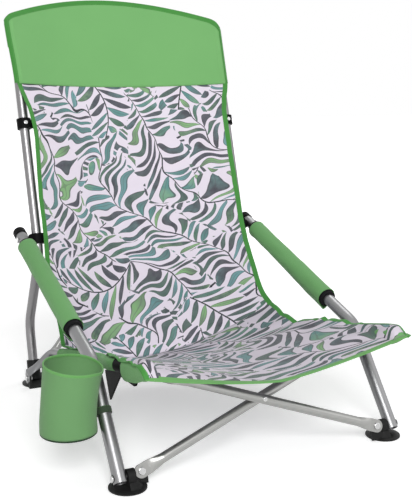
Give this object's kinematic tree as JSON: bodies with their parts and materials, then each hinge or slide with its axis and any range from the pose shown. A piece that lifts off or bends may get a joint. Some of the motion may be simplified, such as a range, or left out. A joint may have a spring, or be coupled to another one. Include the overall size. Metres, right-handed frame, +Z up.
{
  "type": "folding camp chair",
  "caption": "Low folding camp chair with a high sling back, padded tube armrests, crossed braces, round feet and a hanging cup holder.",
  "frame": {"origin": "on the floor, at the middle of the chair's overall box", "axes": "+Z up, -Y to the front of the chair, +X to the sitter's left hand"},
  "size_m": [0.6214, 0.7442, 0.7812],
  "materials": {
    "leg_steel": "satin",
    "post_steel": "satin",
    "rail_steel": "satin",
    "brace_steel": "satin",
    "rivet_steel": "polished",
    "foot_plastic": "matte",
    "black_plastic": "satin",
    "black_foam": "matte",
    "green_cloth": "woven",
    "binding_cloth": "woven",
    "print_cloth": "woven, leaf print",
    "base_plastic": "matte",
    "webbing": "woven tape"
  },
  "bodies": {
    "post_left": {"back_post_left": "post_steel", "rear_foot_left": "foot_plastic", "post_cap_left": "black_plastic", "rail_rivet_left": "rivet_steel", "rear_lug_rivet_left": "rivet_steel", "header_sleeve_left": "green_cloth", "sling_header": "green_cloth", "sling_back": "print_cloth"},
    "collar_left": {"collar_left": "black_plastic", "collar_rivet_left": "rivet_steel"},
    "ring_left": {"ring_bracket_left": "black_plastic", "ring_rivet_left": "rivet_steel"},
    "arm_left": {"leg_arm_tube_left": "leg_steel", "arm_foam_left": "black_foam", "arm_cover_left": "green_cloth", "arm_end_cap_left": "black_plastic", "cup_body": "green_cloth", "cup_base": "base_plastic", "webbing_loop": "webbing"},
    "foot_left": {"front_foot_left": "foot_plastic", "leg_rivet_left": "rivet_steel", "front_lug_rivet_left": "rivet_steel"},
    "rail_left": {"seat_rail_left": "rail_steel", "rail_cap_left": "black_plastic", "hub_bracket_left": "black_plastic", "hub_rivet_left": "rivet_steel", "rail_sleeve_left": "binding_cloth", "front_pocket_left": "binding_cloth", "sling_seat": "print_cloth"},
    "front_brace_left": {"front_brace_left": "brace_steel"},
    "rear_brace_left": {"rear_brace_left": "brace_steel", "rear_cross_rivet": "rivet_steel"},
    "post_right": {"back_post_right": "post_steel", "rear_foot_right": "foot_plastic", "post_cap_right": "black_plastic", "rail_rivet_right": "rivet_steel", "rear_lug_rivet_right": "rivet_steel", "header_sleeve_right": "green_cloth"},
    "collar_right": {"collar_right": "black_plastic", "collar_rivet_right": "rivet_steel"},
    "ring_right": {"ring_bracket_right": "black_plastic", "ring_rivet_right": "rivet_steel"},
    "arm_right": {"leg_arm_tube_right": "leg_steel", "arm_foam_right": "black_foam", "arm_cover_right": "green_cloth", "arm_end_cap_right": "black_plastic"},
    "foot_right": {"front_foot_right": "foot_plastic", "leg_rivet_right": "rivet_steel", "front_lug_rivet_right": "rivet_steel"},
    "rail_right": {"seat_rail_right": "rail_steel", "rail_cap_right": "black_plastic", "hub_bracket_right": "black_plastic", "hub_rivet_right": "rivet_steel", "rail_sleeve_right": "binding_cloth", "front_pocket_right": "binding_cloth"},
    "front_brace_right": {"front_brace_right": "brace_steel", "front_cross_rivet": "rivet_steel"},
    "rear_brace_right": {"rear_brace_right": "brace_steel"}
  },
  "joints": [
    {"name": "fold", "type": "hinge", "parent": "post_left", "child": "rear_brace_left", "pos_m": [-0.1478, 0.27158, 0.026], "axis": [0, -0.9996, 0.0291], "range_deg": [0, 33], "deforming": ["sling_header", "sling_back", "sling_seat", "header_sleeve_left", "rail_sleeve_left", "front_pocket_left", "header_sleeve_right", "rail_sleeve_right", "front_pocket_right"]},
    {"name": "rear_cross", "type": "hinge", "parent": "rear_brace_left", "child": "rear_brace_right", "pos_m": [0.0422, 0.27877, 0.27272], "axis": [0, -0.9996, 0.0291], "range_deg": [-66, 0]},
    {"name": "rear_lug_right", "type": "hinge", "parent": "rear_brace_right", "child": "post_right", "pos_m": [0.2322, 0.27158, 0.026], "axis": [0, -0.9996, 0.0291], "range_deg": [0, 33]},
    {"name": "collar_slide_left", "type": "slide", "parent": "post_left", "child": "collar_left", "axis": [0, 0.2924, 0.9563], "range_m": [0, 0.144]},
    {"name": "ring_slide_left", "type": "slide", "parent": "post_left", "child": "ring_left", "axis": [0, 0.2924, 0.9563], "range_m": [0, 0.35]},
    {"name": "arm_pivot_left", "type": "hinge", "parent": "ring_left", "child": "arm_left", "pos_m": [-0.2098, 0.19558, 0.306], "axis": [1, 0, 0], "range_deg": [0, 35.4]},
    {"name": "leg_pivot_left", "type": "hinge", "parent": "arm_left", "child": "foot_left", "pos_m": [-0.2098, -0.31242, 0.02], "axis": [1, 0, 0], "range_deg": [-26.59, 0]},
    {"name": "front_lug_left", "type": "hinge", "parent": "foot_left", "child": "front_brace_left", "pos_m": [-0.1718, -0.31642, 0.024], "axis": [0, -0.9639, 0.2662], "range_deg": [0, 64.04]},
    {"name": "rail_pivot_left", "type": "hinge", "parent": "post_left", "child": "rail_left", "pos_m": [-0.2078, 0.21158, 0.021], "axis": [1, 0, 0], "range_deg": [-62, 0]},
    {"name": "collar_slide_right", "type": "slide", "parent": "post_right", "child": "collar_right", "axis": [0, 0.2924, 0.9563], "range_m": [0, 0.144]},
    {"name": "ring_slide_right", "type": "slide", "parent": "post_right", "child": "ring_right", "axis": [0, 0.2924, 0.9563], "range_m": [0, 0.35]},
    {"name": "arm_pivot_right", "type": "hinge", "parent": "ring_right", "child": "arm_right", "pos_m": [0.2942, 0.19558, 0.306], "axis": [1, 0, 0], "range_deg": [0, 35.4]},
    {"name": "leg_pivot_right", "type": "hinge", "parent": "arm_right", "child": "foot_right", "pos_m": [0.2942, -0.31242, 0.02], "axis": [1, 0, 0], "range_deg": [-26.59, 0]},
    {"name": "front_lug_right", "type": "hinge", "parent": "foot_right", "child": "front_brace_right", "pos_m": [0.2562, -0.31642, 0.024], "axis": [0, -0.9639, 0.2662], "range_deg": [-64.04, 0]},
    {"name": "rail_pivot_right", "type": "hinge", "parent": "post_right", "child": "rail_right", "pos_m": [0.2922, 0.21158, 0.021], "axis": [1, 0, 0], "range_deg": [-62, 0]}
  ],
  "couplings": [
    {"joint": "rear_cross", "follows": "fold", "ratio": -2},
    {"joint": "rear_lug_right", "follows": "fold", "ratio": 1},
    {"joint": "collar_slide_left", "follows": "fold", "m_per_rad": 0.25002},
    {"joint": "ring_slide_left", "follows": "fold", "m_per_rad": 0.60768},
    {"joint": "arm_pivot_left", "follows": "fold", "ratio": 1.0727},
    {"joint": "leg_pivot_left", "follows": "fold", "ratio": -0.80576},
    {"joint": "front_lug_left", "follows": "fold", "ratio": 1.9406},
    {"joint": "rail_pivot_left", "follows": "fold", "ratio": -1.8788},
    {"joint": "collar_slide_right", "follows": "fold", "m_per_rad": 0.25002},
    {"joint": "ring_slide_right", "follows": "fold", "m_per_rad": 0.60768},
    {"joint": "arm_pivot_right", "follows": "fold", "ratio": 1.0727},
    {"joint": "leg_pivot_right", "follows": "fold", "ratio": -0.80576},
    {"joint": "front_lug_right", "follows": "fold", "ratio": -1.9406},
    {"joint": "rail_pivot_right", "follows": "fold", "ratio": -1.8788}
  ]
}
